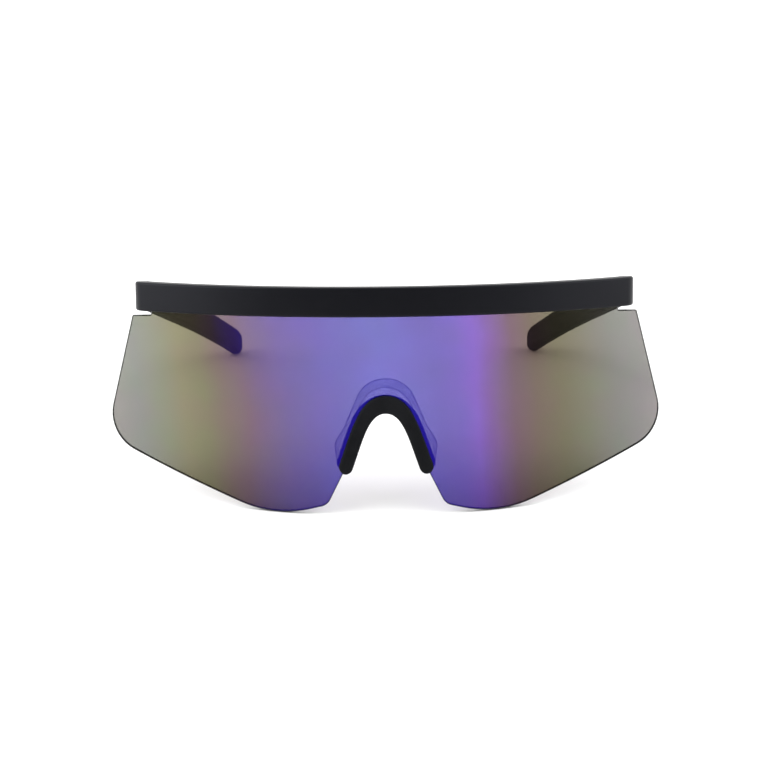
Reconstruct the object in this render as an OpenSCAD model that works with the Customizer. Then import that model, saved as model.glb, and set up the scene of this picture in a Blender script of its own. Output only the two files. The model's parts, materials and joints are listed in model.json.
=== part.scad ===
// Shield sunglasses: one wide cylindrical lens hung from a slim brow bar, a rubber nose
// bridge gripping the lens's notch, and two temples that fold on barrel hinges.
// Lengths are in millimetres. The pieces are drawn with the brow bar level: x runs to the
// wearer's left, y back towards the ears, z up, the lens's front touches y = 0 at its middle
// and the bar's lower edge is z = 0. stand() then sets the open glasses on a table, on the
// lens's two low points and the temple tips.

/* [Lens] */
// Radius of the lens's front face, a plain upright cylinder
lens_r = 125; // [115:1:150]
// Thickness of the lens
lens_t = 1.8; // [1.4:0.1:2.2]
// Height of the tongue that the brow bar holds
tongue_h = 4; // [3:0.1:5]
// Width across the tongue
tongue_w = 140.6; // [120:0.2:141]
// Gap between the brow bar and the lens's shoulders
shoulder_gap = 1.1; // [0.6:0.1:3]
// Width across the lens's shoulders
shoulder_w = 153; // [144:0.2:158]
// Fall of each shoulder from the tongue to its outer end
shoulder_fall = 0.5; // [0:0.1:2]
// Width between the lens's outer corners, before they are rounded
corner_w = 173; // [162:0.5:180]
// Depth of the outer corners below the brow bar
corner_drop = 39.4; // [34:0.2:44]
// Radius that rounds the outer corners
corner_r = 11; // [4:0.2:14]
// Width between the lens's lowest corners, before they are rounded
foot_w = 66.5; // [62:0.5:80]
// Depth of the lowest corners below the brow bar
foot_drop = 59.8; // [54:0.2:62.8]
// Radius that rounds the lowest corners
foot_r = 35.5; // [12:0.5:40]
// Width between the lens's corners beside the nose, before they are rounded
nose_foot_w = 34.8; // [29:0.2:38]
// Depth of the corners beside the nose below the brow bar
nose_foot_drop = 55.8; // [52:0.2:57]
// Radius that rounds the corners beside the nose
nose_foot_r = 4; // [1:0.1:6]

/* [Brow bar] */
// Width of the brow bar
bar_w = 150.6; // [148:0.2:160]
// Height of the brow bar
bar_h = 8.75; // [8.2:0.05:12]
// Wall of the bar in front of the lens
bar_front_wall = 1.2; // [1:0.05:2]
// Wall of the bar behind the lens
bar_rear_wall = 1.55; // [1.2:0.05:2.4]
// Radius along the bar's long edges
bar_edge_r = 0.7; // [0.3:0.05:1]
// Inside radius where the bar turns back towards the temple
bend_r = 0.3; // [0.1:0.05:2]
// Straight end piece behind the bend, up to the temple
end_leg = 6.5; // [5:0.1:10]
// Height of the end piece, and of the temple, where the two meet
end_h = 8; // [7.4:0.1:8.2]

/* [Temples] */
// Length of a temple from the brow bar to the end of its tip
temple_len = 139; // [125:1:150]
// Height of a temple at its tip
tip_h = 9.5; // [7.5:0.1:10.5]
// Thickness of a temple along its blade
blade_t = 3.9; // [3:0.1:4.6]
// Slope of the temple's first stretch below the bar's plane, in degrees
temple_slope = 10.4; // [4:0.1:13]
// Extra fall of the tip, where the temple curves down behind the ear
temple_dip = 8.6; // [4:0.1:12]
// Straight stretch of the temple behind the hinge
temple_straight = 10; // [9:0.5:20]
// How far the tip is drawn in towards the head
temple_draw = 18.7; // [8:0.1:20]
// Radius along the temple's edges
temple_edge_r = 1; // [0.5:0.05:1.4]
// Radius along the temple's edges at its tip
tip_edge_r = 1.85; // [0.5:0.05:2.2]
// Length of the rounded end of the tip
tip_round = 5.5; // [3:0.1:9]

/* [Hinges] */
// Height of the hinge's three barrels together
hinge_h = 5.7; // [4.8:0.1:6.3]
// Radius of the barrels
barrel_r = 1.5; // [1.3:0.05:1.7]
// Thickness of the hinge's leaves
leaf_t = 1; // [0.8:0.05:1.2]
// How deep the leaves are let into the plastic
leaf_sink = 0.7; // [0.4:0.05:0.8]
// Length of the leaf in the temple
temple_leaf_len = 8.6; // [7:0.1:9]
// Radius of the hinge screw's shank
hinge_screw_r = 0.7; // [0.5:0.05:0.8]
// Gap between bar and temple when the temple is open
butt_gap = 0.12; // [0.05:0.01:0.3]

/* [Nose piece] */
// Depth of the arch's crown below the brow bar
arch_drop = 28.4; // [26:0.1:32]
// Width of the opening at the ends of the legs
arch_w = 19.8; // [18:0.2:23]
// Depth of the leg ends below the brow bar
leg_drop = 45; // [42:0.1:48]
// Width of the rubber's front lip at the crown
crown_lip_w = 5.3; // [4:0.1:7]
// Width of the rubber's front lip along the legs
leg_lip_w = 4.2; // [3:0.1:5]
// Thickness of the front lip
lip_t = 1.6; // [1:0.1:2.2]
// Depth of the web between the lens's edge and the nose
web_w = 1.9; // [1.4:0.1:2.4]
// How far the nose pads reach back from the lens
pad_reach = 8; // [5:0.1:11]
// How far the pads flare out towards the face
pad_flare = 2.6; // [1.5:0.1:4]
// Thickness of the pads
pad_t = 1.8; // [1.2:0.1:2.4]
// Thickness of the clear carrier's flange behind the lens
flange_t = 0.8; // [0.6:0.05:1.2]
// Thickness of the carrier's collar, which the rubber grips with the lens
collar_t = 1.3; // [1:0.05:1.6]
// Height of the carrier's flange above the arch's crown
flange_rise = 10.1; // [8:0.1:12]
// Width of the carrier's flange at its widest, before rounding
flange_w = 30.6; // [30:0.2:34]

/* [Screws] */
// Number of screws that hold the lens in the bar
lens_screw_count = 4; // [2:1:6]
// Width between the outermost lens screws
lens_screw_spread = 118; // [90:1:124]
// Radius of a lens screw's shank
lens_screw_r = 0.6; // [0.4:0.05:0.7]
// Radius of a lens screw's head
lens_head_r = 1.15; // [0.9:0.05:1.4]
// Radius of a leaf screw's shank
leaf_screw_r = 0.5; // [0.4:0.05:0.6]
// Radius of a leaf screw's head
leaf_head_r = 0.9; // [0.7:0.05:1]
// Length of a leaf screw under its head
leaf_screw_len = 3; // [2.4:0.1:3.4]

/* [Hidden] */
$fn = 64;
right_angle = 90;
lens_fn = 360;          // sides of the circles about the lens's axis
over = 1;               // how far a cut runs past the face it opens
fit_gap = 0.05;         // gap round a piece that sits in another, on each side
slot_end_gap = 0.2;     // gap at each end of the tongue's slot
tongue_r = 0.6;         // small corner radii of the lens
shoulder_r = 0.5;
notch_r = 0.3;
lens_hole_gap = 0.15;   // gap round a lens screw in the tongue
lens_pilot = 0.7;       // how far a lens screw bites into the bar's front wall
lens_head_h = 0.7;      // screw heads: height, sink, and their driver slots
lens_head_sink = 0.4;
leaf_head_h = 0.45;
hinge_head_r = 1.2;
hinge_head_h = 0.6;
slot_w = 0.3;
slot_depth = 0.22;
leaf_corner_r = 0.9;    // rounded rear corners of the leaves
leaf_margin = 0.9;      // end piece left in front of the front leaf
barrel_gap = 0.04;      // gap between two barrels
barrel_clear = 0.15;    // gap between a barrel and the leaf beside it
hinge_play = 0.05;      // radial play of the hinge screw in its barrels
front_screw_share = 0.26;             // screws in the front leaf, from its middle, of its height
temple_screw_shares = [0.4, 0.78];    // screws in the temple leaf, of its length
leg_way_shares = [0.68, 0.48];        // pull of the arch's curve, of its half width and its height
lip_round = 0.5;        // rounding of the lip's outer and inner edges
lip_inner_round = 0.9;
lip_power = 9;          // how quickly the lip narrows from the crown to the legs
rear_lip_t = 1.3;
rear_leg_over = 1;      // how far the rear lip reaches past the front one along the legs
rear_crown_over = -0.2; // the same at the crown, where it falls short of it
pad_start_share = 0.48; // where the pad begins and is full, of the way down the leg
pad_full_share = 0.56;
collar_over = 2.1;      // how far the collar reaches past the front lip at the crown
collar_leg_over = -0.3; // the same along the legs, where it falls short of it
flange_top_w = 12.2;    // corners of the flange's outline, before rounding, with their radii
flange_top_r = 8.9;
flange_waist_w = 24.4;
flange_waist_rise = 4.2;    // below the crown
flange_waist_r = 5;
flange_ear_drop = 9.2;      // below the crown
flange_ear_r = 3.4;
flange_end_w = 27;
flange_end_drop = 17.6;     // below the crown
flange_end_r = 0.8;
leg_end_angle = 80;     // how far round the leg's and the tip's rounded ends their last rings lie
tip_end_angle = 85;
full_share = 0.98;      // the largest radius of a rounded edge, of half the section's side
tip_t_round = 2.4;      // length over which the tip's thickness rounds off
draw_power = 1.8;       // how late the temple draws in and dips
dip_power = 2.85;
arc_steps = 7;          // points on a rounded corner, and rings along the swept pieces
bar_steps = 24;
bend_steps = 6;
arch_steps = 22;
tip_steps = 5;
blade_steps = 34;
end_steps = 9;
edge_steps = 4;

bar_depth = bar_front_wall + bar_rear_wall + lens_t + 2 * fit_gap;
bar_front_r = lens_r + fit_gap + bar_front_wall;
bar_mid_r = bar_front_r - bar_depth / 2;
bar_rear_r = bar_front_r - bar_depth;
bend_mid_r = bend_r + bar_depth / 2;
bend_x = bar_w / 2 - bar_depth - bend_r;
bar_half_angle = asin(bend_x / (bar_mid_r - bend_mid_r));
bend_y = lens_r - (bar_mid_r - bend_mid_r) * cos(bar_half_angle);
butt_y = bend_y + end_leg;
inner_x = bar_w / 2 - bar_depth;
leaf_x = inner_x - leaf_t + leaf_sink;
axis_x = leaf_x - barrel_clear - barrel_r;
hinge_z = end_h / 2;
barrel_h = (hinge_h - 2 * barrel_gap) / 3;
front_leaf_len = end_leg - leaf_margin;
groove_h = lens_t + collar_t + fit_gap;
leg_h = leg_drop - arch_drop;

// The nose arch's inner line on the right half, from its crown to the end of the leg
arch = [[0, -arch_drop],
        [leg_way_shares[0] * arch_w / 2 * 0.75, -arch_drop],
        [leg_way_shares[0] * arch_w / 2, -arch_drop - leg_way_shares[1] * leg_h],
        [arch_w / 2, -leg_drop]];

// Small helpers
function lerp(a, b, k) = a + (b - a) * k;
function unit(v) = v / norm(v);
function ease(k) = let (c = min(max(k, 0), 1)) c * c * (3 - 2 * c);
function bezier(p, t) = pow(1 - t, 3) * p[0] + 3 * t * pow(1 - t, 2) * p[1]
                      + 3 * t * t * (1 - t) * p[2] + pow(t, 3) * p[3];
function bezier_way(p, t) = unit(pow(1 - t, 2) * (p[1] - p[0])
                               + 2 * t * (1 - t) * (p[2] - p[1]) + t * t * (p[3] - p[2]));

// The arc that rounds corner b of an outline, between its neighbours a and c
function corner_arc(a, b, c, r) =
    let (u = unit(a - b), v = unit(c - b), half = acos(u * v) / 2, turn = 2 * (right_angle - half),
         middle = b + unit(u + v) * r / sin(half),
         from = b + u * r / tan(half) - middle, to = b + v * r / tan(half) - middle)
    [for (i = [0 : arc_steps]) let (k = i / arc_steps)
        middle + (sin((1 - k) * turn) * from + sin(k * turn) * to) / sin(turn)];

// An outline of [x, z, radius] corners as points, with each corner rounded
function rounded(pts) = let (n = len(pts), p = [for (q = pts) [q.x, q.y]])
    [for (i = [0 : n - 1])
        each pts[i].z > 0 ? corner_arc(p[(i + n - 1) % n], p[i], p[(i + 1) % n], pts[i].z)
                          : [p[i]]];

// A ring of points round a rectangle with rounded corners
function rounded_ring(w, h, r) =
    [for (c = [[1, 1, 0], [-1, 1, 1], [-1, -1, 2], [1, -1, 3]], i = [0 : edge_steps])
        let (a = right_angle * (c[2] + i / edge_steps))
        [c[0] * (w / 2 - r) + r * cos(a), c[1] * (h / 2 - r) + r * sin(a)]];
ring_count = 4 * (edge_steps + 1);
ring_cap = [for (j = [1 : ring_count - 2]) [0, j, j + 1]];

// Triangles of a body swept through rings of n points, where caps close its two ends
function sweep_faces(rings, n, cap) =
    concat([for (i = [0 : rings - 2], j = [0 : n - 1], half = [0, 1])
                let (a = i * n + j, b = i * n + (j + 1) % n)
                half == 0 ? [a, b, b + n] : [a, b + n, a + n]],
           [for (f = cap) [f[2], f[1], f[0]]],
           [for (f = cap) [for (v = f) v + (rings - 1) * n]]);

// Depth of the lens's front face behind its middle
function sag(x) = lens_r - sqrt(lens_r * lens_r - x * x);
// Depth of a face that lies a given way behind the lens's front, measured along its radius
function behind(x, way) = lens_r - sqrt(pow(lens_r - way, 2) - x * x);

// Nose arch: a point on its inner line and the way out from the opening, where t runs from
// -1 at the end of the right leg, over 0 at the crown, to 1 at the end of the left leg
function arch_at(t) = let (p = bezier(arch, abs(t))) [(t < 0 ? -1 : 1) * p.x, p.y];
function arch_way(t) = let (w = bezier_way(arch, abs(t))) [w.x, (t < 0 ? -1 : 1) * w.y];
function arch_out(t) = let (w = arch_way(t)) [-w.y, w.x];
function arch_line(gap) = [for (i = [-arch_steps : arch_steps]) let (t = i / arch_steps)
    arch_at(t) + arch_out(t) * gap];
// How much of the crown's wider lip is left on the way down the legs
function crown_share(t) = pow(cos(right_angle * t), lip_power);
function lip_w(t) = lerp(leg_lip_w, crown_lip_w, crown_share(t));
function pad_at(t) = ease((abs(t) - pad_start_share) / (pad_full_share - pad_start_share));

// The lens's outline seen from the front
lens_side = [[tongue_w / 2, tongue_h, tongue_r],
             [tongue_w / 2, -shoulder_gap, notch_r],
             [shoulder_w / 2, -shoulder_gap - shoulder_fall, shoulder_r],
             [corner_w / 2, -corner_drop, corner_r],
             [foot_w / 2, -foot_drop, foot_r],
             [nose_foot_w / 2, -nose_foot_drop, nose_foot_r]];
lens_corners = concat(lens_side,
                      [for (p = arch_line(web_w + fit_gap)) [-p.x, p.y, 0]],
                      [for (i = [len(lens_side) - 1 : -1 : 0])
                          [-lens_side[i].x, lens_side[i].y, lens_side[i].z]]);
lens_outline = rounded(lens_corners);

// A piece of the upright shell between two radii about the lens's axis
module shell(inner_r, outer_r, low, high, half_angle) {
    translate([0, lens_r, 0]) rotate([0, 0, -90 - half_angle])
        rotate_extrude(angle = 2 * half_angle, $fn = lens_fn)
            translate([inner_r, low]) square([outer_r - inner_r, high - low]);
}

// An outline cut out of the stretch between two depths behind the lens's front
module curved_plate(outline, front, back, low, half_w) {
    intersection() {
        shell(lens_r - back, lens_r - front, low, tongue_h + over, asin(half_w / (lens_r - back)));
        translate([0, lens_r, 0]) rotate([90, 0, 0])
            linear_extrude(height = lens_r + over) polygon(outline);
    }
}

// Places a child on the lens's axis at angle a, radius r and height z, facing outwards
module facing_out(a, r, z) {
    translate([0, lens_r, 0]) rotate([0, 0, a]) translate([0, -r, z]) rotate([90, 0, 0])
        children();
}

// A slotted screw whose shank runs down from z = 0 and whose head stands on it
module screw(head_r, head_h, shank_r, shank_len) {
    translate([0, 0, -shank_len]) cylinder(r = shank_r, h = shank_len);
    difference() {
        cylinder(r = head_r, h = head_h);
        translate([-head_r - over, -slot_w / 2, head_h - slot_depth])
            cube([2 * (head_r + over), slot_w, slot_depth + over]);
    }
}

// Lens screws
lens_screw_len = bar_rear_wall - lens_head_sink + 2 * fit_gap + lens_t + lens_pilot;
function lens_screw_angle(i) = let (a = asin(lens_screw_spread / 2 / lens_r))
    lerp(-a, a, i / (lens_screw_count - 1));

module at_lens_screws(r) {
    for (i = [0 : lens_screw_count - 1])
        facing_out(lens_screw_angle(i), r, tongue_h / 2) children();
}

module lens_screws_raw() {
    at_lens_screws(bar_rear_r + lens_head_sink) mirror([0, 0, 1])
        screw(lens_head_r, lens_head_h, lens_screw_r, lens_screw_len);
}

// Brow bar: a rounded section carried along an arc, round a bend at each end and back to
// the butt plane. A station is [centre, radius, angle, way back, height].
bar_bend = [for (i = [1 : bend_steps])
    [[bend_x, bend_y], bend_mid_r, lerp(bar_half_angle, right_angle, i / bend_steps), 0, bar_h]];
bar_right = concat(bar_bend,
                   [[[bend_x, bend_y], bend_mid_r, right_angle, end_leg - butt_gap / 2, end_h]]);
bar_stations = concat(
    [for (i = [len(bar_right) - 1 : -1 : 0]) let (b = bar_right[i])
        [[-b[0].x, b[0].y], b[1], -b[2], b[3], b[4]]],
    [for (i = [-bar_steps : bar_steps])
        [[0, lens_r], bar_mid_r, i / bar_steps * bar_half_angle, 0, bar_h]],
    bar_right);
bar_points = [for (b = bar_stations, q = rounded_ring(bar_depth, b[4], bar_edge_r))
    [b[0].x + (b[1] + q.x) * sin(b[2]), b[0].y - (b[1] + q.x) * cos(b[2]) + b[3],
     b[4] / 2 + q.y]];

module brow_bar_raw() {
    difference() {
        polyhedron(points = bar_points,
                   faces = sweep_faces(len(bar_stations), ring_count, ring_cap));
        shell(lens_r - lens_t - fit_gap, lens_r + fit_gap, -over, tongue_h + fit_gap,
              asin((tongue_w / 2 + slot_end_gap) / (lens_r - lens_t)));
        at_lens_screws(bar_rear_r - over)
            cylinder(r = lens_screw_r + fit_gap, h = over + lens_head_sink + lens_screw_len);
        at_lens_screws(bar_rear_r - over)
            cylinder(r = lens_head_r + fit_gap, h = over + lens_head_sink);
        for (m = [0, 1]) mirror([m, 0, 0]) {
            leaf_pocket(-1, front_leaf_len, 0);
            at_front_leaf_screws() leaf_pilot();
        }
    }
}

// Shield lens
module shield_lens_raw() {
    difference() {
        curved_plate(lens_outline, 0, lens_t, -foot_drop, corner_w / 2);
        at_lens_screws(lens_r - lens_t - over)
            cylinder(r = lens_screw_r + lens_hole_gap, h = lens_t + 2 * over);
    }
}

// Clear carrier of the nose piece: a flange against the lens's back and a thicker collar
flange_side = [[flange_top_w / 2, -arch_drop + flange_rise, flange_top_r],
               [flange_waist_w / 2, -arch_drop - flange_waist_rise, flange_waist_r],
               [flange_w / 2, -arch_drop - flange_ear_drop, flange_ear_r],
               [flange_end_w / 2, -arch_drop - flange_end_drop, flange_end_r]];
flange_outline = rounded(concat(
    flange_side,
    [for (p = arch_line(web_w + fit_gap)) [-p.x, p.y, 0]],
    [for (i = [len(flange_side) - 1 : -1 : 0])
        [-flange_side[i].x, flange_side[i].y, flange_side[i].z]]));
collar_outline = concat(
    arch_line(web_w + fit_gap),
    [for (i = [arch_steps : -1 : -arch_steps]) let (t = i / arch_steps)
        arch_at(t) + arch_out(t)
            * (lip_w(t) + lerp(collar_leg_over, collar_over, crown_share(t)))]);

module nose_carrier_raw() {
    back = lens_t + fit_gap;
    curved_plate(flange_outline, back, back + flange_t, -foot_drop, flange_w);
    curved_plate(collar_outline, back, back + collar_t, -foot_drop, flange_w);
}

// Rubber nose bridge: a channel that grips the lens and the carrier, with pads on its legs.
// A ring of it is given as [way out from the nose, way behind the lens's front].
rear_lip_shares = [[0, 0.4], [0.04, 0.75], [0.14, 0.95], [0.35, 1], [0.65, 1],
                   [0.87, 0.96], [0.97, 0.75], [1, 0.45]];
// The pad's points as shares of [its flare, its thickness, its reach]
pad_shares = [[0, 0, 0.12], [0.14, 0, 0.38], [0.42, 0, 0.68], [0.86, 0, 0.95],
              [1, 0.35, 1], [1, 0.8, 0.98], [0.92, 1, 0.86], [0.45, 1.25, 0.45]];

function bridge_ring(t, shrink) =
    let (w = lip_w(t), rear = w + lerp(rear_leg_over, rear_crown_over, crown_share(t)),
         back = groove_h + fit_gap,
         pad = pad_at(t) * shrink, o = lip_round, i = lip_inner_round, s = 1 - sin(45))
    concat([[w, -fit_gap], [w, o - lip_t], [w - s * o, s * o - lip_t], [w - o, -lip_t],
            [i, -lip_t], [s * i, s * i - lip_t], [0, i - lip_t], [0, back / 2], [0, back]],
           [for (k = [0 : len(pad_shares) - 1])
               let (r = rear_lip_shares[k], p = pad_shares[k])
               lerp([r.x * rear, back + r.y * rear_lip_t],
                    [p.x * pad_flare + p.y * pad_t, back + p.z * pad_reach], pad)],
           [[rear, back], [web_w, back], [web_w, -fit_gap]]);

ring_n = len(bridge_ring(0, 1));
lip_last = 6;           // the ring's points on the front lip, and on the web's nose side
web_last = 8;
bridge_cap = concat([for (j = [0 : lip_last]) [ring_n - 1, j, j + 1]],
                    [[ring_n - 1, lip_last + 1, web_last], [ring_n - 1, web_last, ring_n - 2]],
                    [for (j = [web_last : ring_n - 4]) [ring_n - 2, j, j + 1]]);

bridge_stations = concat(
    [for (k = [tip_steps : -1 : 1]) [-1, k / tip_steps * leg_end_angle]],
    [for (k = [-arch_steps : arch_steps]) [k / arch_steps, 0]],
    [for (k = [1 : tip_steps]) [1, k / tip_steps * leg_end_angle]]);
bridge_points = [for (st = bridge_stations)
    let (t = st[0], shrink = cos(st[1]), out = arch_out(t),
         foot = arch_at(t) + (t < 0 ? -1 : 1) * arch_way(t) * leg_lip_w / 2 * sin(st[1]))
    for (q = bridge_ring(t, shrink))
        let (p = foot + out * lerp(web_w, q.x, shrink)) [p.x, q.y + sag(p.x), p.y]];

module nose_bridge_raw() {
    polyhedron(points = bridge_points,
               faces = sweep_faces(len(bridge_stations), ring_n, bridge_cap));
}

// Hinges, drawn for the +x side round the axis and mirrored for the other one
module at_axis() {
    translate([axis_x, butt_y, hinge_z]) children();
}

// Outline of a leaf in [y, z] from the butt plane back, falling with the temple
function leaf_outline(start, length, slope, grow) =
    let (top = hinge_h / 2 + grow, end = length + grow, r = leaf_corner_r)
    rounded([[start, top - start * tan(slope), 0], [end, top - end * tan(slope), r],
             [end, -top - end * tan(slope), r], [start, -top - start * tan(slope), 0]]);

module leaf_plate(way, start, length, slope, grow, thick) {
    turned = way < 0 ? 1 : 0;
    mirror([0, turned, 0]) rotate([90, 0, 90])
        linear_extrude(height = thick)
            polygon(leaf_outline(start, length, slope, grow));
}

// The pocket that a leaf is let into, in front of (way -1) or behind (way 1) the butt plane
module leaf_pocket(way, length, slope) {
    translate([leaf_x - over, butt_y, hinge_z])
        leaf_plate(way, -over, length, slope, fit_gap, leaf_t + over + fit_gap);
}

module barrel(z) {
    translate([0, 0, z]) cylinder(r = barrel_r, h = barrel_h);
}

module barrel_neck(way, z) {
    depth = barrel_r - butt_gap / 2;
    near = way > 0 ? butt_gap / 2 : -barrel_r;
    translate([0, near, z]) cube([leaf_x - axis_x + leaf_t, depth, barrel_h]);
}

module hinge_bore() {
    translate([0, 0, -hinge_h / 2 - over])
        cylinder(r = hinge_screw_r + hinge_play, h = hinge_h + 2 * over);
}

module at_front_leaf_screws() {
    for (side = [-1, 1])
        translate([leaf_x, butt_y - front_leaf_len / 2, hinge_z + side * hinge_h * front_screw_share])
            rotate([0, -90, 0]) children();
}

module at_temple_leaf_screws() {
    for (k = temple_screw_shares)
        translate([leaf_x, butt_y + k * temple_leaf_len,
                   hinge_z - k * temple_leaf_len * tan(temple_slope)])
            rotate([0, -90, 0]) children();
}

module leaf_pilot() {
    translate([0, 0, -leaf_screw_len - fit_gap])
        cylinder(r = leaf_screw_r + fit_gap, h = leaf_screw_len + fit_gap + over);
}

module front_hinge_half() {
    difference() {
        at_axis() difference() {
            union() {
                translate([leaf_x - axis_x, 0, 0])
                    leaf_plate(-1, butt_gap / 2, front_leaf_len, 0, 0, leaf_t);
                for (z = [-hinge_h / 2, hinge_h / 2 - barrel_h]) {
                    barrel(z);
                    barrel_neck(-1, z);
                }
            }
            hinge_bore();
        }
        at_front_leaf_screws() leaf_pilot();
    }
}

module temple_hinge_half() {
    difference() {
        at_axis() difference() {
            union() {
                translate([leaf_x - axis_x, 0, 0])
                    leaf_plate(1, butt_gap / 2, temple_leaf_len, temple_slope, 0, leaf_t);
                barrel(-barrel_h / 2);
                barrel_neck(1, -barrel_h / 2);
            }
            hinge_bore();
        }
        at_temple_leaf_screws() leaf_pilot();
    }
}

module hinge_screw_half() {
    at_axis() translate([0, 0, hinge_h / 2])
        screw(hinge_head_r, hinge_head_h, hinge_screw_r, hinge_h);
}

module leaf_screw() {
    screw(leaf_head_r, leaf_head_h, leaf_screw_r, leaf_screw_len);
}

// Temple: a blade lofted from the bar's end piece to a rounded tip
function temple_fall(k) = temple_len * k * tan(temple_slope) + temple_dip * pow(k, dip_power);
function temple_in(k) = let (s = temple_straight / temple_len)
    temple_draw * pow(max(k - s, 0) / (1 - s), draw_power);
// How much of the height or thickness is left near the end, where it rounds off over a length
function end_share(k, length) = let (u = max(k - 1 + length / temple_len, 0) * temple_len / length)
    sqrt(max(1 - u * u, 0));

last_share = sin(tip_end_angle);
temple_shares = concat(
    [for (i = [0 : blade_steps]) i / blade_steps * (1 - tip_round / temple_len)],
    [for (i = [1 : end_steps])
        1 - tip_round / temple_len * (1 - sin(right_angle * i / end_steps) * last_share)]);

function temple_ring(k) =
    let (full_h = lerp(end_h, tip_h, ease(2 * k)), full_t = lerp(bar_depth, blade_t, ease(2 * k)),
         h = full_h * end_share(k, tip_round), w = full_t * end_share(k, tip_t_round),
         r = min(lerp(temple_edge_r, tip_edge_r, ease(k)), h / 2 * full_share, w / 2 * full_share),
         x = bar_w / 2 - temple_in(k) - full_t / 2,
         z = full_h / 2 - temple_fall(k))
    [for (q = rounded_ring(w, h, r))
        [x + q.x, butt_y + butt_gap / 2 + k * (temple_len - butt_gap / 2), z + q.y]];
temple_points = [for (k = temple_shares) each temple_ring(k)];

module temple_half() {
    difference() {
        polyhedron(points = temple_points,
                   faces = sweep_faces(len(temple_shares), ring_count, ring_cap));
        leaf_pocket(1, temple_leaf_len, temple_slope);
        at_temple_leaf_screws() leaf_pilot();
    }
}

// Standing the glasses on a table: the lean at which the lens and the tips both touch it
lens_low_points = [for (p = lens_outline) if (p.y < -corner_drop) [p.x, behind(p.x, lens_t), p.y]];
function height_at(p, a) = p.z * cos(a) - p.y * sin(a);
function depth_at(p, a) = p.y * cos(a) + p.z * sin(a);
function lowest(pts, a) =
    let (h = [for (p = pts) height_at(p, a)], low = min(h))
    [for (i = [0 : len(h) - 1]) if (h[i] == low) pts[i]][0];
function settled(a, count) = count <= 0 ? a :
    let (lens = lowest(lens_low_points, a), tip = lowest(temple_points, a))
    settled(atan2(tip.z - lens.z, tip.y - lens.y), count - 1);

settle_count = 6;
lean = settled(0, settle_count);
floor_z = height_at(lowest(lens_low_points, lean), lean);
front_y = min([for (p = bridge_points) depth_at(p, lean)]);
rear_y = max([for (p = temple_points) depth_at(p, lean)]);

module stand() {
    translate([0, -(front_y + rear_y) / 2, -floor_z]) rotate([-lean, 0, 0]) children();
}

module left_side() {
    stand() children();
}

module right_side() {
    stand() mirror([1, 0, 0]) children();
}

// The pieces; the wearer's left is the +x side
module brow_bar() { color([0.09, 0.09, 0.10]) stand() brow_bar_raw(); }
module shield_lens() { color([0.48, 0.44, 0.70, 0.8]) stand() shield_lens_raw(); }
module nose_carrier() { color([0.85, 0.87, 0.92, 0.5]) stand() nose_carrier_raw(); }
module nose_bridge() { color([0.04, 0.04, 0.04]) stand() nose_bridge_raw(); }
module lens_screws() { color([0.55, 0.55, 0.57]) stand() lens_screws_raw(); }

module left_front_hinge() { color([0.62, 0.62, 0.64]) left_side() front_hinge_half(); }
module left_front_hinge_screws() {
    color([0.50, 0.50, 0.52]) left_side() at_front_leaf_screws() leaf_screw();
}
module left_hinge_screw() { color([0.50, 0.50, 0.52]) left_side() hinge_screw_half(); }
module left_temple_hinge() { color([0.62, 0.62, 0.64]) left_side() temple_hinge_half(); }
module left_temple_hinge_screws() {
    color([0.50, 0.50, 0.52]) left_side() at_temple_leaf_screws() leaf_screw();
}
module left_temple() { color([0.09, 0.09, 0.10]) left_side() temple_half(); }

module right_front_hinge() { color([0.62, 0.62, 0.64]) right_side() front_hinge_half(); }
module right_front_hinge_screws() {
    color([0.50, 0.50, 0.52]) right_side() at_front_leaf_screws() leaf_screw();
}
module right_hinge_screw() { color([0.50, 0.50, 0.52]) right_side() hinge_screw_half(); }
module right_temple_hinge() { color([0.62, 0.62, 0.64]) right_side() temple_hinge_half(); }
module right_temple_hinge_screws() {
    color([0.50, 0.50, 0.52]) right_side() at_temple_leaf_screws() leaf_screw();
}
module right_temple() { color([0.09, 0.09, 0.10]) right_side() temple_half(); }

brow_bar();
shield_lens();
nose_carrier();
nose_bridge();
lens_screws();
left_front_hinge();
left_front_hinge_screws();
left_hinge_screw();
left_temple_hinge();
left_temple_hinge_screws();
left_temple();
right_front_hinge();
right_front_hinge_screws();
right_hinge_screw();
right_temple_hinge();
right_temple_hinge_screws();
right_temple();
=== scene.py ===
import json
import math

import bmesh
import bpy
from mathutils import Matrix, Vector

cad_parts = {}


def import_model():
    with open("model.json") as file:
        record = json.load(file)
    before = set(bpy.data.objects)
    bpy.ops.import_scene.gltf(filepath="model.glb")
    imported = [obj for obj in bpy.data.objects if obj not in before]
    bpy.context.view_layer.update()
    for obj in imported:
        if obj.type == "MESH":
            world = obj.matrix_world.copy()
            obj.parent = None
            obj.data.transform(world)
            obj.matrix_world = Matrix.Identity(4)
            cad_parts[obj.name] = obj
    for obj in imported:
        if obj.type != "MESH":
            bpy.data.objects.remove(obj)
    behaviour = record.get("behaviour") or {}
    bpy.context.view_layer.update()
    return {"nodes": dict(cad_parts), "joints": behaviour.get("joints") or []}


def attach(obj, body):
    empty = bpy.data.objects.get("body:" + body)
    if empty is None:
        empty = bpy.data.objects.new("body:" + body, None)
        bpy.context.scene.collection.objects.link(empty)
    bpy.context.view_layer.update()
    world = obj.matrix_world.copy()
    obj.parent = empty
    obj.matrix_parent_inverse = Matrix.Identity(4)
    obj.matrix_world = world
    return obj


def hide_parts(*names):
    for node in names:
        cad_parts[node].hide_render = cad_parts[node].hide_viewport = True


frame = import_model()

# The pieces are worked out in the glasses' own plane, in millimetres, as the CAD is: x to the
# wearer's left, y back, z up from the bar's lower edge, with the lens's front at y = 0.
# stand() takes such a point to the row frame, in metres. Floor and lights are in the row frame.
MM = 0.001
AXIS_POINT = Vector((68.7, 32.684, 4.0))      # the left hinge's middle

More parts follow.
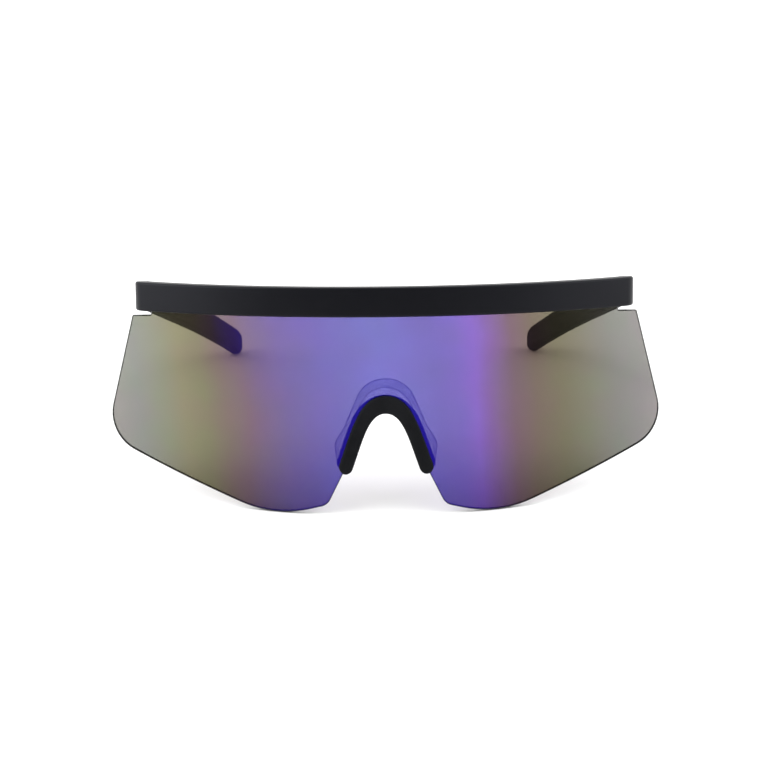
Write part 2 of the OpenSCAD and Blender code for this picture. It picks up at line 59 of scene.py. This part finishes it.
joint = [j for j in frame["joints"] if j["name"] == "left_temple_fold"][0]
LEAN = math.atan2(joint["axis"][1], joint["axis"][2])
TURN = Matrix.Rotation(-LEAN, 4, "X")
SHIFT = Vector(joint["pos_m"]) - (TURN @ AXIS_POINT) * MM


def stand(p):
    return (TURN @ Vector(p)) * MM + SHIFT


# ---------------------------------------------------------------- nodes

NOISE_RANGE = (0.3, 0.7)      # nearly all values of a noise texture


def material(name, **values):
    m = bpy.data.materials.new(name)
    m.use_nodes = True
    shader = m.node_tree.nodes["Principled BSDF"]
    for key, value in values.items():
        socket = shader.inputs[key.replace("_", " ")]
        socket.default_value = (*value, 1) if isinstance(value, tuple) else value
    return m, m.node_tree, shader


def node(tree, kind, **inputs):
    n = tree.nodes.new(kind)
    for key, value in inputs.items():
        n.inputs[key.replace("_", " ")].default_value = value
    return n


def ramp(tree, source, stops):
    """Colours, or plain numbers, that follow a value through its stops."""
    n = tree.nodes.new("ShaderNodeValToRGB")
    band = n.color_ramp
    while len(band.elements) < len(stops):
        band.elements.new(0.5)
    for element, (at, colour) in zip(band.elements, stops):
        element.position = at
        element.color = (*colour, 1) if isinstance(colour, tuple) else (colour,) * 3 + (1,)
    tree.links.new(source, n.inputs["Fac"])
    return n.outputs["Color"]


def maths(tree, operation, a, b):
    n = tree.nodes.new("ShaderNodeMath")
    n.operation = operation
    for socket, value in zip(n.inputs, (a, b)):
        if isinstance(value, (int, float)):
            socket.default_value = value
        else:
            tree.links.new(value, socket)
    return n.outputs[0]


def vector_maths(tree, operation, colour, by):
    """A colour times another colour (MULTIPLY) or times a number (SCALE)."""
    n = tree.nodes.new("ShaderNodeVectorMath")
    n.operation = operation
    tree.links.new(colour, n.inputs[0])
    tree.links.new(by, n.inputs["Scale" if operation == "SCALE" else 1])
    return n.outputs[0]


def spread(tree, source, low, high, to_low, to_high):
    n = tree.nodes.new("ShaderNodeMapRange")
    tree.links.new(source, n.inputs["Value"])
    limits = zip(("From Min", "From Max", "To Min", "To Max"), (low, high, to_low, to_high))
    for key, value in limits:
        n.inputs[key].default_value = value
    return n.outputs["Result"]


def noise(tree, scale, detail, stretch=(1, 1, 1)):
    place = tree.nodes.new("ShaderNodeTexCoord")
    mapping = node(tree, "ShaderNodeMapping", Scale=stretch)
    tree.links.new(place.outputs["Object"], mapping.inputs["Vector"])
    n = node(tree, "ShaderNodeTexNoise", Scale=scale, Detail=detail)
    tree.links.new(mapping.outputs["Vector"], n.inputs["Vector"])
    return n.outputs["Fac"]


def uneven(tree, low, high, scale, detail, stretch=(1, 1, 1)):
    """A number that wanders between low and high over the surface."""
    return spread(tree, noise(tree, scale, detail, stretch), *NOISE_RANGE, low, high)


def roughen(tree, shader, low, high, scale, detail, stretch=(1, 1, 1)):
    tree.links.new(uneven(tree, low, high, scale, detail, stretch), shader.inputs["Roughness"])


def mottle(tree, shader, dark, light, scale, detail):
    """A base colour that wanders between two near ones."""
    stops = list(zip(NOISE_RANGE, (dark, light)))
    tree.links.new(ramp(tree, noise(tree, scale, detail), stops), shader.inputs["Base Color"])


def bump(tree, shader, distance, strength, scale, detail, stretch=(1, 1, 1)):
    n = node(tree, "ShaderNodeBump", Strength=strength, Distance=distance)
    tree.links.new(noise(tree, scale, detail, stretch), n.inputs["Height"])
    tree.links.new(n.outputs["Normal"], shader.inputs["Normal"])


# ---------------------------------------------------------------- plastics, rubber, steel

def black_plastic(name, roughness):
    """Matt black injection moulding: fine grain, slightly uneven gloss."""
    m, tree, shader = material(name, Roughness=roughness, Specular_IOR_Level=0.18,
                               Specular_Tint=(0.85, 0.87, 1.0))
    mottle(tree, shader, (0.0010, 0.0010, 0.0017), (0.0018, 0.0018, 0.0026), scale=90, detail=4)
    roughen(tree, shader, roughness - 0.02, roughness + 0.02, scale=260, detail=4)
    bump(tree, shader, distance=0.000006, strength=0.12, scale=2600, detail=2)
    return m


def rubber():
    m, tree, shader = material("nose_rubber", Roughness=0.6, Specular_IOR_Level=0.12)
    mottle(tree, shader, (0.0014, 0.0017, 0.0026), (0.0042, 0.0045, 0.0058), scale=140, detail=4)
    roughen(tree, shader, 0.55, 0.7, scale=500, detail=3)
    bump(tree, shader, distance=0.000025, strength=0.4, scale=4200, detail=2)
    return m


def steel(name, colour, roughness):
    """Rolled steel, with fine scratches along one way."""
    m, tree, shader = material(name, Base_Color=colour, Metallic=1.0, Roughness=roughness)
    roughen(tree, shader, roughness - 0.06, roughness + 0.1, scale=1800, detail=3,
            stretch=(1, 1, 9))
    bump(tree, shader, distance=0.00001, strength=0.3, scale=3000, detail=2, stretch=(1, 1, 12))
    return m


def clear(name, colour, alpha):
    m, tree, shader = material(name, Base_Color=colour, Alpha=alpha)
    roughen(tree, shader, 0.05, 0.12, scale=220, detail=3)
    return m


# ---------------------------------------------------------------- the lens's coat

# The lens's colours across its width, from the wearer's right to the left, by x in mm: what its
# coat mirrors, and the tint of what shows through. The mirror colours are partly the coat's own
# blue-violet and partly painted reflection: its shift to olive and grey with viewing angle, and
# bands of reflected studio light, painted by place across the lens.
LENS_COLOURS = [
    (-84, (0.014, 0.016, 0.014), (0.87, 0.83, 0.79)),
    (-76, (0.014, 0.015, 0.011), (0.75, 0.77, 0.71)),
    (-66, (0.014, 0.014, 0.008), (0.71, 0.72, 0.53)),
    (-60, (0.015, 0.013, 0.008), (0.70, 0.66, 0.42)),
    (-53, (0.017, 0.013, 0.010), (0.60, 0.56, 0.36)),
    (-48, (0.018, 0.011, 0.018), (0.57, 0.45, 0.38)),
    (-42, (0.022, 0.010, 0.085), (0.54, 0.38, 0.37)),
    (-30, (0.034, 0.015, 0.410), (0.45, 0.35, 0.40)),
    (-18, (0.037, 0.016, 0.595), (0.42, 0.36, 0.52)),
    (0, (0.038, 0.028, 0.770), (0.445, 0.415, 0.66)),
    (16, (0.039, 0.017, 0.630), (0.43, 0.36, 0.53)),
    (22, (0.045, 0.016, 0.545), (0.46, 0.35, 0.64)),
    (27, (0.056, 0.017, 0.450), (0.56, 0.34, 0.80)),
    (31, (0.046, 0.018, 0.210), (0.55, 0.32, 0.68)),
    (34, (0.038, 0.018, 0.110), (0.53, 0.33, 0.55)),
    (38, (0.026, 0.015, 0.040), (0.50, 0.33, 0.38)),
    (44, (0.013, 0.008, 0.010), (0.51, 0.39, 0.32)),
    (52, (0.010, 0.009, 0.006), (0.51, 0.48, 0.31)),
    (60, (0.012, 0.011, 0.007), (0.57, 0.56, 0.42)),
    (70, (0.014, 0.013, 0.010), (0.64, 0.65, 0.59)),
    (76, (0.015, 0.015, 0.012), (0.73, 0.71, 0.69)),
    (84, (0.016, 0.016, 0.015), (0.87, 0.83, 0.79))]
COAT_HALF_W = 86.0            # mm, from the middle to the ends of the colour ramps
COAT_SHARE = 0.6              # of the coat, against what shows through
COAT_TOP = 0.058              # metres above the table, where the three rises below end
# By height: strength of the mirror, a painted reflection that grows brighter towards the top,
# strength of the tint, a painted shade that grows darker towards the bottom, and how far the
# colour bands lean between the two ends of BAND_LEAN_WAY
PAINTED_REFLECTION_RISE = [(0.0, 0.38), (0.35, 0.63), (0.6, 0.86), (1.0, 1.46)]
PAINTED_SHADE_TINT_RISE = [(0.0, 0.66), (0.35, 0.70), (0.6, 0.75), (1.0, 0.75)]
BAND_LEAN = [(0.0, 0.0), (0.5, 0.1), (0.69, 0.38), (1.0, 1.0)]
BAND_LEAN_WAY = (-0.0016, 0.0026)      # metres
BAND_WANDER = 0.004                    # metres, either way
PATCHES = [(0.35, (1.015, 0.965, 1.01)), (0.65, (0.975, 1.01, 0.96))]      # pink, green


def lens_coat():
    """A thin mirror over the tinted lens: a metal gloss mixed with coloured transparency."""
    m, tree, shader = material("lens_mirror", Metallic=1.0, Roughness=0.2)
    place = tree.nodes.new("ShaderNodeTexCoord")
    parts = tree.nodes.new("ShaderNodeSeparateXYZ")
    tree.links.new(place.outputs["Object"], parts.inputs[0])
    height = spread(tree, parts.outputs["Z"], 0, COAT_TOP, 0, 1)

    # Where a point lies across the bands, which lean and wander
    wander = spread(tree, noise(tree, 26, 2), 0, 1, -BAND_WANDER, BAND_WANDER)
    lean = spread(tree, ramp(tree, height, BAND_LEAN), 0, 1, *BAND_LEAN_WAY)
    x = maths(tree, "ADD", maths(tree, "ADD", parts.outputs["X"], wander), lean)
    across = spread(tree, x, -COAT_HALF_W * MM, COAT_HALF_W * MM, 0, 1)
    at = [(stop[0] + COAT_HALF_W) / (2 * COAT_HALF_W) for stop in LENS_COLOURS]

    streaks = uneven(tree, 0.96, 1.04, scale=60, detail=3, stretch=(0.25, 1, 1))
    # painted reflection: the mirror's strength, uneven in streaks, rises with height
    strength = maths(tree, "MULTIPLY", streaks, ramp(tree, height, PAINTED_REFLECTION_RISE))
    # painted reflection: the coat's colour shift with viewing angle and bands of studio light,
    # fixed by place across the lens
    mirror = ramp(tree, across, list(zip(at, [stop[1] for stop in LENS_COLOURS])))
    tree.links.new(vector_maths(tree, "SCALE", mirror, strength), shader.inputs["Base Color"])
    roughen(tree, shader, 0.17, 0.22, scale=120, detail=4)

    tint = ramp(tree, across, list(zip(at, [stop[2] for stop in LENS_COLOURS])))
    tint = vector_maths(tree, "MULTIPLY", tint, ramp(tree, noise(tree, 85, 2), PATCHES))
    # painted shade: the tint darkens towards the bottom of the lens
    tint = vector_maths(tree, "SCALE", tint, ramp(tree, height, PAINTED_SHADE_TINT_RISE))
    through = tree.nodes.new("ShaderNodeBsdfTransparent")
    tree.links.new(tint, through.inputs["Color"])

    mix = node(tree, "ShaderNodeMixShader", Fac=COAT_SHARE)
    tree.links.new(through.outputs[0], mix.inputs[1])
    tree.links.new(shader.outputs[0], mix.inputs[2])
    tree.links.new(mix.outputs[0], tree.nodes["Material Output"].inputs["Surface"])
    return m


def lens_inside():
    """The bare rear face: almost nothing but a faint gloss."""
    m, tree, shader = material("lens_inside", Base_Color=(0.012, 0.012, 0.015), Alpha=0.02)
    roughen(tree, shader, 0.2, 0.25, scale=150, detail=4)
    return m


def lens_edge():
    m, tree, shader = material("lens_edge", Roughness=0.25, Specular_IOR_Level=0.3)
    mottle(tree, shader, (0.006, 0.006, 0.006), (0.014, 0.014, 0.012), scale=200, detail=2)
    return m


BAR_BLACK = black_plastic("bar_plastic", 0.38)
ARM_BLACK = black_plastic("arm_plastic", 0.68)
RUBBER = rubber()
HINGE_STEEL = steel("hinge_steel", (0.34, 0.34, 0.35), 0.3)
SCREW_STEEL = steel("screw_steel", (0.24, 0.24, 0.26), 0.34)
# A plate's materials: front face, rear face, edge
LENS = [lens_coat(), lens_inside(), lens_edge()]
# painted shade: the flange's edge is a dark, half-opaque band standing in for the dark line that
# refraction draws along the edges of clear plastic
CLEAR_WITH_PAINTED_EDGE_SHADE = [clear("clear_face", (0.15, 0.16, 0.28), 0.18),
         clear("clear_face_rear", (0.15, 0.16, 0.28), 0.18),
         clear("clear_painted_edge_shade", (0.05, 0.05, 0.12), 0.52)]
# painted highlight: the collar is the same clear carrier as the flange, given lighter, whiter
# faces so that its step shows as a bright arc; its edge is painted shade, a half-opaque band for
# the dark line along clear plastic edges
COLLAR_WITH_PAINTED_HIGHLIGHT = [clear("collar_face", (0.46, 0.48, 0.64), 0.085),
          clear("collar_face_rear", (0.46, 0.48, 0.64), 0.085),
          clear("collar_painted_edge_shade", (0.3, 0.32, 0.5), 0.3)]


# ---------------------------------------------------------------- outlines

LENS_R, LENS_T, LENS_CHAMFER = 125.0, 1.8, 0.22
FIT_GAP = 0.05                # between parts that fit together
FLANGE_T, FLANGE_CHAMFER = 0.8, 0.25
COLLAR_T, COLLAR_CHAMFER = 1.3, 0.12

# Corners from the bar down to the notch: x, z, and the radius that rounds the corner
LENS_CORNERS = [
    (70.3, 4, 0.6),           # top of the tongue that the bar holds
    (70.3, -1.1, 0.3),        # foot of the tongue
    (76.5, -1.6, 0.5),        # shoulder
    (86.5, -39.4, 11),        # widest corner
    (33.25, -59.8, 35.5),     # low corner that the glasses stand on
    (17.4, -55.8, 4)]         # foot beside the notch
FLANGE_CORNERS = [(6.1, 10.1, 8.9), (12.2, -4.2, 5), (15.3, -9.2, 3.4), (14.2, -17.6, 0.3)]

# The nose arch: the rubber's opening, its lips, and the web between its lips
ARCH_DROP, ARCH_W, LEG_DROP = 28.4, 19.8, 45.0
LEG_LIP_W, CROWN_LIP_W, WEB_W = 4.2, 5.3, 1.9
COLLAR_OVER_LEG, COLLAR_OVER_CROWN = -0.3, 2.1      # the collar past the rubber's lip
CROWN_WAY, LEG_WAY_X, LEG_WAY_Z = 0.75, 0.68, 0.48      # place the curve's middle points
LEG_H = LEG_DROP - ARCH_DROP
ARCH = [Vector((0, -ARCH_DROP)),
        Vector((LEG_WAY_X * ARCH_W / 2 * CROWN_WAY, -ARCH_DROP)),
        Vector((LEG_WAY_X * ARCH_W / 2, -ARCH_DROP - LEG_WAY_Z * LEG_H)),
        Vector((ARCH_W / 2, -LEG_DROP))]
ARCH_STEPS = 40
CROWN_FALL = 9                # how soon a width falls from the crown's to the leg's


def corner_arc(a, b, c, r, steps=10):
    """The arc that rounds corner b of an outline, between its neighbours a and c."""
    u, v = (a - b).normalized(), (c - b).normalized()
    half = math.acos(max(-1, min(1, u.dot(v)))) / 2
    middle = b + (u + v).normalized() * r / math.sin(half)
    start, end = b + u * r / math.tan(half) - middle, b + v * r / math.tan(half) - middle
    turn = math.pi - 2 * half
    return [middle + (math.sin((1 - k) * turn) * start + math.sin(k * turn) * end) / math.sin(turn)
            for k in (i / steps for i in range(steps + 1))]


def rounded(points):
    flat = [Vector(p[:2]) for p in points]
    result = []
    for i, p in enumerate(points):
        if p[2] > 0:
            result += corner_arc(flat[i - 1], flat[i], flat[(i + 1) % len(flat)], p[2])
        else:
            result.append(flat[i])
    return result


def arch_line(gap_at):
    """The nose arch's inner line moved outwards, from the right leg's end to the left one's."""
    points = []
    for i in range(-ARCH_STEPS, ARCH_STEPS + 1):
        t, side = abs(i) / ARCH_STEPS, -1 if i < 0 else 1
        p, q, r, s = ARCH
        at = (1 - t) ** 3 * p + 3 * t * (1 - t) ** 2 * q + 3 * t * t * (1 - t) * r + t ** 3 * s
        way = ((1 - t) ** 2 * (q - p) + 2 * t * (1 - t) * (r - q) + t * t * (s - r)).normalized()
        at += Vector((-way.y, way.x)) * gap_at(t)
        points.append(Vector((side * at.x, at.y)))
    return points


def collar_gap(t):
    """From the arch's inner line to the collar's outer edge."""
    crown = math.cos(math.pi / 2 * t) ** CROWN_FALL
    leg_w, crown_w = LEG_LIP_W + COLLAR_OVER_LEG, CROWN_LIP_W + COLLAR_OVER_CROWN
    return leg_w + (crown_w - leg_w) * crown


def both_sides(side_corners, notch):
    return rounded(side_corners + [(-p.x, p.y, 0) for p in notch]
                   + [(-x, z, r) for x, z, r in reversed(side_corners)])


NOTCH = arch_line(lambda t: WEB_W + FIT_GAP)
COLLAR_LINE = arch_line(collar_gap)
LENS_OUTLINE = both_sides(LENS_CORNERS, NOTCH)
COLLAR_OUTLINE = NOTCH + list(reversed(COLLAR_LINE))
FLANGE_OUTLINE = both_sides([(x, z - ARCH_DROP, r) for x, z, r in FLANGE_CORNERS], COLLAR_LINE)


# ---------------------------------------------------------------- forms

WELD = 1e-6                   # metres, within which a solid's vertices are one


def behind(x, way):
    """Depth of a face that lies a given way behind the lens's front, measured along its radius."""
    return LENS_R - math.sqrt((LENS_R - way) ** 2 - x * x)


def inset(outline, by):
    result = []
    for i, p in enumerate(outline):
        a, b = outline[i - 1], outline[(i + 1) % len(outline)]
        way = (b - a).normalized()
        result.append(p + Vector((-way.y, way.x)) * by)
    return result


def area_of(outline):
    return sum(a.x * b.y - b.x * a.y for a, b in zip(outline, outline[1:] + outline[:1])) / 2


def clean_outline(outline, least=0.02):
    """The outline without points that nearly coincide, run the way that faces need."""
    kept = []
    for p in outline:
        if not kept or (p - kept[-1]).length > least:
            kept.append(p)
    if (kept[0] - kept[-1]).length < least:
        kept.pop()
    if area_of(kept) < 0:
        kept.reverse()
    return kept


def curved_plate(name, outline, front, thickness, chamfer, materials, strip_w):
    """A plate with this outline, a given way behind the lens's front, with chamfered edges:
    flat first, then cut into strips and bent round the lens's axis."""
    outline = clean_outline(outline)
    inner = inset(outline, chamfer)
    back = front + thickness
    bm = bmesh.new()
    rings = [[bm.verts.new((p.x, depth, p.y)) for p in ring] for ring, depth in
             ((inner, front), (outline, front + chamfer), (outline, back - chamfer),
              (inner, back))]
    bm.faces.new(rings[0])
    bm.faces.new(list(reversed(rings[-1]))).material_index = 1
    for a, b in zip(rings, rings[1:]):
        for i in range(len(a)):
            j = (i + 1) % len(a)
            bm.faces.new((a[j], a[i], b[i], b[j])).material_index = 2
    low, high = min(p.x for p in outline), max(p.x for p in outline)
    x = math.ceil(low / strip_w) * strip_w
    while x < high:
        bmesh.ops.bisect_plane(bm, geom=bm.verts[:] + bm.edges[:] + bm.faces[:],
                               plane_co=(x, 0, 0), plane_no=(1, 0, 0), dist=1e-5)
        x += strip_w
    for f in bm.faces:
        f.smooth = True
    for e in bm.edges:
        e.smooth = len({f.material_index for f in e.link_faces}) == 1
    for v in bm.verts:
        v.co = stand((v.co.x, behind(v.co.x, v.co.y), v.co.z))
    bmesh.ops.recalc_face_normals(bm, faces=bm.faces[:])
    return add_mesh(name, bm, materials)


def add_mesh(name, bm, materials):
    mesh = bpy.data.meshes.new(name)
    bm.to_mesh(mesh)
    bm.free()
    for m in materials:
        mesh.materials.append(m)
    obj = bpy.data.objects.new(name, mesh)
    bpy.context.scene.collection.objects.link(obj)
    return obj


def apply_modifiers(obj):
    bpy.context.view_layer.update()
    done = obj.evaluated_get(bpy.context.evaluated_depsgraph_get())
    mesh = bpy.data.meshes.new_from_object(done)
    obj.modifiers.clear()
    obj.data = mesh


def solid_of(node_name, name, look):
    """A piece with the solid's own faces, welded."""
    bm = bmesh.new()
    bm.from_mesh(frame["nodes"][node_name].data)
    bmesh.ops.remove_doubles(bm, verts=bm.verts[:], dist=WELD)
    for f in bm.faces:
        f.material_index = 0
        f.smooth = True
    return add_mesh(name, bm, [look])


def moulded(node_name, name, look, sharp_degrees=32):
    """The solid's own form, with smooth shading between its sharp edges."""
    obj = solid_of(node_name, name, look)
    obj.data.set_sharp_from_angle(angle=math.radians(sharp_degrees))
    weighted = obj.modifiers.new("weighted", "WEIGHTED_NORMAL")
    weighted.keep_sharp = True
    weighted.weight = 90
    apply_modifiers(obj)
    return obj


def soft_edged(node_name, name, look, voxel=0.28, passes=4):
    """The solid's form with all its edges rounded off: remeshed finely, then smoothed."""
    obj = solid_of(node_name, name, look)
    remesh = obj.modifiers.new("remesh", "REMESH")
    remesh.mode = "VOXEL"
    remesh.voxel_size = voxel * MM
    apply_modifiers(obj)
    soften = obj.modifiers.new("soften", "SMOOTH")
    soften.factor = 0.5
    soften.iterations = passes
    apply_modifiers(obj)
    for p in obj.data.polygons:
        p.use_smooth = True
    return obj


def finish_piece(obj, body, replaced):
    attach(obj, body)
    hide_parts(replaced)


# ---------------------------------------------------------------- the pieces

BEHIND_LENS = LENS_T + FIT_GAP
finish_piece(curved_plate("lens", LENS_OUTLINE, 0, LENS_T, LENS_CHAMFER, LENS, strip_w=2.0),
             "front", "shield_lens")
finish_piece(curved_plate("carrier_flange", FLANGE_OUTLINE, BEHIND_LENS, FLANGE_T,
                          FLANGE_CHAMFER, CLEAR_WITH_PAINTED_EDGE_SHADE, strip_w=1.0),
             "front", "nose_carrier")
finish_piece(curved_plate("carrier_collar", COLLAR_OUTLINE, BEHIND_LENS, COLLAR_T,
                          COLLAR_CHAMFER, COLLAR_WITH_PAINTED_HIGHLIGHT, strip_w=1.0),
             "front", "nose_carrier")
finish_piece(moulded("brow_bar", "bar", BAR_BLACK), "front", "brow_bar")
for side in ("left", "right"):
    finish_piece(moulded(f"{side}_temple", f"{side}_arm", ARM_BLACK), f"{side}_temple",
                 f"{side}_temple")
finish_piece(soft_edged("nose_bridge", "nose_pads", RUBBER), "front",
             "nose_bridge")

# Hinges and screws keep their solids
for name, obj in frame["nodes"].items():
    if "screw" in name or "hinge" in name:
        obj.data.materials.clear()
        obj.data.materials.append(SCREW_STEEL if "screw" in name else HINGE_STEEL)


# ---------------------------------------------------------------- stage, light, camera

FLOOR_HALF_W = 12.0
# The studio's brightness from in front of the glasses to behind them
STUDIO = [(0.0, 0.21), (0.07, 0.3), (0.16, 0.8), (0.3, 1.5), (0.5, 1.45), (1.0, 1.3)]
STUDIO_WAY_X, STUDIO_WAY_Y = 0.17, 0.985      # which way that runs, a little turned
STUDIO_RISE = (0.76, 0.98)                    # times this, from the horizon to overhead

CAMERA_RAISED, CAMERA_ROLL = math.radians(8.4), math.radians(0.61)
CAMERA_REACH, CAMERA_TARGET = 600.0, Vector((-0.4, -4.01, -19.05))
CAMERA_SENSOR, CAMERA_LENS = 36.0, 96.98


def floor():
    bm = bmesh.new()
    bm.faces.new([bm.verts.new((x * FLOOR_HALF_W, y * FLOOR_HALF_W, 0)) for x, y in
                  ((-1, -1), (1, -1), (1, 1), (-1, 1))])
    m, tree, shader = material("pale_floor", Roughness=0.9, Specular_IOR_Level=0.0)
    mottle(tree, shader, (0.93, 0.93, 0.93), (0.95, 0.95, 0.95), scale=1.2, detail=2)
    add_mesh("floor", bm, [m])


def world():
    """A pale studio, dimmer in front of the glasses than at their sides and above."""
    w = bpy.data.worlds.new("studio")
    w.use_nodes = True
    tree = w.node_tree
    place = tree.nodes.new("ShaderNodeTexCoord")
    parts = tree.nodes.new("ShaderNodeSeparateXYZ")
    tree.links.new(place.outputs["Generated"], parts.inputs[0])
    back = maths(tree, "ADD", maths(tree, "MULTIPLY", parts.outputs["Y"], STUDIO_WAY_Y),
                 maths(tree, "MULTIPLY", parts.outputs["X"], STUDIO_WAY_X))
    shader = tree.nodes["Background"]
    light = ramp(tree, spread(tree, back, -1, 1, 0, 1), STUDIO)
    tree.links.new(light, shader.inputs["Color"])
    overhead = spread(tree, parts.outputs["Z"], 0, 1, *STUDIO_RISE)
    tree.links.new(overhead, shader.inputs["Strength"])
    bpy.context.scene.world = w


def area_light(name, place, size, power, aim=(0, 0, 0.03)):
    data = bpy.data.lights.new(name, "AREA")
    data.shape = "RECTANGLE"
    data.size, data.size_y = size
    data.energy = power
    obj = bpy.data.objects.new(name, data)
    obj.location = place
    obj.rotation_euler = (Vector(aim) - Vector(place)).to_track_quat("-Z", "Y").to_euler()
    bpy.context.scene.collection.objects.link(obj)


def camera():
    """The photograph's camera, set against the glasses' own plane."""
    back = Vector((0, -math.cos(CAMERA_RAISED), math.sin(CAMERA_RAISED)))
    up = Vector((0, math.sin(CAMERA_RAISED), math.cos(CAMERA_RAISED)))
    right = Vector((1, 0, 0))
    turned_up = up * math.cos(CAMERA_ROLL) + right * math.sin(CAMERA_ROLL)
    turned_right = right * math.cos(CAMERA_ROLL) - up * math.sin(CAMERA_ROLL)
    turn = TURN.to_3x3()
    axes = Matrix([turn @ v for v in (turned_right, turned_up, back)]).transposed()
    data = bpy.data.cameras.new("camera")
    data.sensor_width = CAMERA_SENSOR
    data.lens = CAMERA_LENS
    data.clip_start = 0.01
    obj = bpy.data.objects.new("camera", data)
    place = stand(CAMERA_TARGET + back * CAMERA_REACH)
    obj.matrix_world = Matrix.Translation(place) @ axes.to_4x4()
    bpy.context.scene.collection.objects.link(obj)
    bpy.context.scene.camera = obj


floor()
world()
area_light("left_box", (1.3, -0.3, 0.8), (1.6, 1.6), 11)
area_light("right_box", (-1.4, -0.4, 0.8), (1.6, 1.6), 21)
area_light("top_box", (0, 0.35, 1.6), (1.6, 1.2), 3)
camera()
bpy.context.scene.view_settings.view_transform = "Standard"
